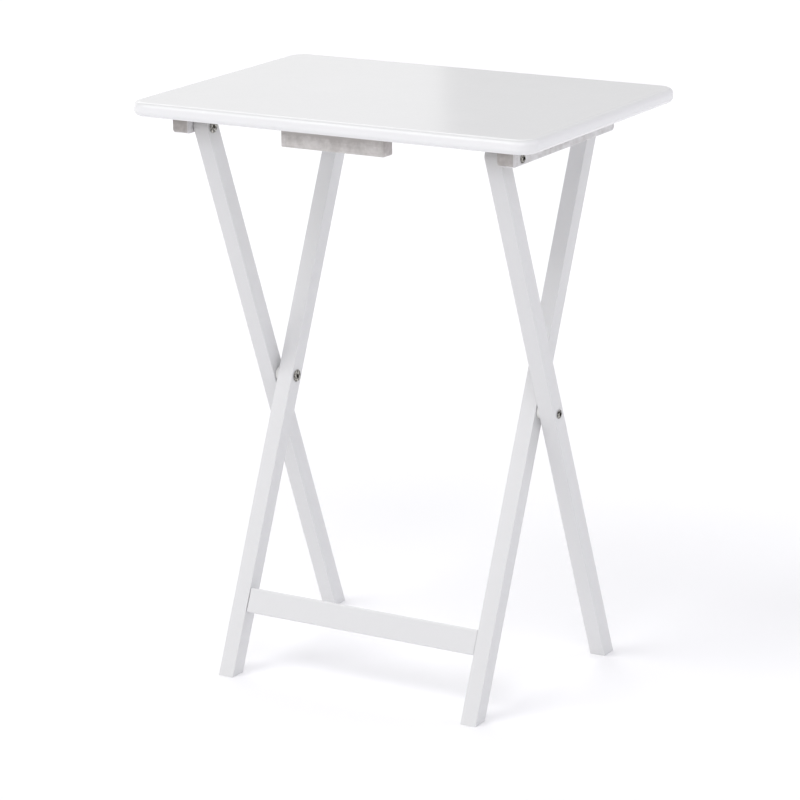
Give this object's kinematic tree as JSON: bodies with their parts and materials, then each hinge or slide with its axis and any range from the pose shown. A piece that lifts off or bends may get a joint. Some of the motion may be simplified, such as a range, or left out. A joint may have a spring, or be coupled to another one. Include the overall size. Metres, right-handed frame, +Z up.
{
  "type": "folding tray table",
  "caption": "Rectangular tray table top with rounded edges on two pairs of square legs that cross, pivot and fold flat.",
  "frame": {"origin": "on the floor, under the middle of the top", "axes": "+Z up, +X along the top's long side, +Y towards the back, where the crossbar clips under the top"},
  "size_m": [0.5, 0.35, 0.66],
  "materials": {
    "white_lacquer": "smooth gloss white lacquer over wood",
    "white_satin": "thin satin white paint over wood, faint grain",
    "dark_nickel": "dark nickel plate on steel",
    "bare_wood": "plain beech, unfinished",
    "nylon": "moulded white nylon"
  },
  "bodies": {
    "outer_frame": {"outer_leg_left": "white_lacquer", "outer_leg_right": "white_lacquer", "crossing_left_bolt": "dark_nickel", "crossing_left_nut": "dark_nickel", "crossing_right_bolt": "dark_nickel", "crossing_right_nut": "dark_nickel", "crossing_spacer_left": "nylon", "crossing_spacer_right": "nylon", "top_pivot_left_bolt": "dark_nickel", "top_pivot_left_nut": "dark_nickel", "top_pivot_right_bolt": "dark_nickel", "top_pivot_right_nut": "dark_nickel", "top_pivot_washer_left": "nylon", "top_pivot_washer_right": "nylon"},
    "inner_frame": {"inner_leg_left": "white_lacquer", "inner_leg_right": "white_lacquer", "crossbar": "white_lacquer", "lower_stretcher": "white_lacquer", "stretcher_dowel_left_lower": "bare_wood", "stretcher_dowel_left_upper": "bare_wood", "stretcher_dowel_right_lower": "bare_wood", "stretcher_dowel_right_upper": "bare_wood"},
    "tray": {"tabletop": "white_lacquer", "cleat_left": "white_satin", "cleat_right": "white_satin", "front_batten": "white_satin", "snap_clip_left": "nylon", "snap_clip_right": "nylon", "clip_screw_left": "dark_nickel", "clip_screw_right": "dark_nickel", "cleat_screw_left_1": "dark_nickel", "cleat_screw_left_2": "dark_nickel", "cleat_screw_left_3": "dark_nickel", "cleat_screw_right_1": "dark_nickel", "cleat_screw_right_2": "dark_nickel", "cleat_screw_right_3": "dark_nickel", "batten_screw_left": "dark_nickel", "batten_screw_right": "dark_nickel"}
  },
  "joints": [
    {"name": "leg_fold", "type": "hinge", "parent": "outer_frame", "child": "inner_frame", "pos_m": [0, -0.00093, 0.32013], "axis": [1, 0, 0], "range_deg": [0, 44.7], "deforming": ["snap_clip_left", "snap_clip_right"]},
    {"name": "top_lift", "type": "hinge", "parent": "outer_frame", "child": "tray", "pos_m": [0, -0.1213, 0.6298], "axis": [1, 0, 0], "range_deg": [0, 111.2]}
  ],
  "couplings": [
    {"joint": "top_lift", "follows": "leg_fold", "ratio": 2.488}
  ]
}
